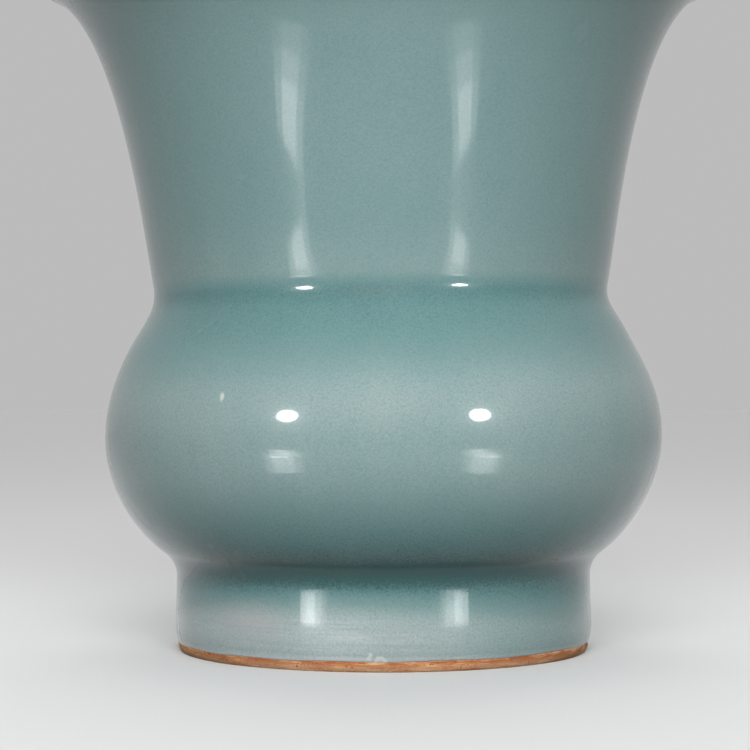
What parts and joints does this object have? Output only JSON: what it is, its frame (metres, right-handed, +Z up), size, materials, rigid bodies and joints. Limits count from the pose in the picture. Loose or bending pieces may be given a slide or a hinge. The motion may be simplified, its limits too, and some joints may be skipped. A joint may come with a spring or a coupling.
{
  "type": "celadon leys jar",
  "caption": "Celadon-glazed stoneware leys jar: flaring trumpet mouth over a squat rounded belly on a straight foot ring with a bare clay rim; holds discarded tea leaves or scraps.",
  "frame": {"origin": "centre of the foot's rest face, at the middle of the bounding box's bottom", "axes": "+Z up along the jar's turning axis; the picture looks along +Y with +X to the right"},
  "size_m": [0.126, 0.126, 0.1255],
  "materials": {
    "stoneware": "fired grey stoneware, under the glaze",
    "slip": "fired luting slip",
    "kiln_red_stoneware": "bare stoneware, burnt orange where the kiln air reached it",
    "celadon_glaze": "glossy grey-blue celadon, deeper where it pools"
  },
  "bodies": {
    "root": {"mouth_section": "stoneware", "neck_slip_seam": "slip", "belly_section": "stoneware", "foot_slip_seam": "slip", "foot_ring": "kiln_red_stoneware", "outer_glaze": "celadon_glaze", "inner_glaze": "celadon_glaze", "base_glaze": "celadon_glaze"}
  },
  "joints": []
}
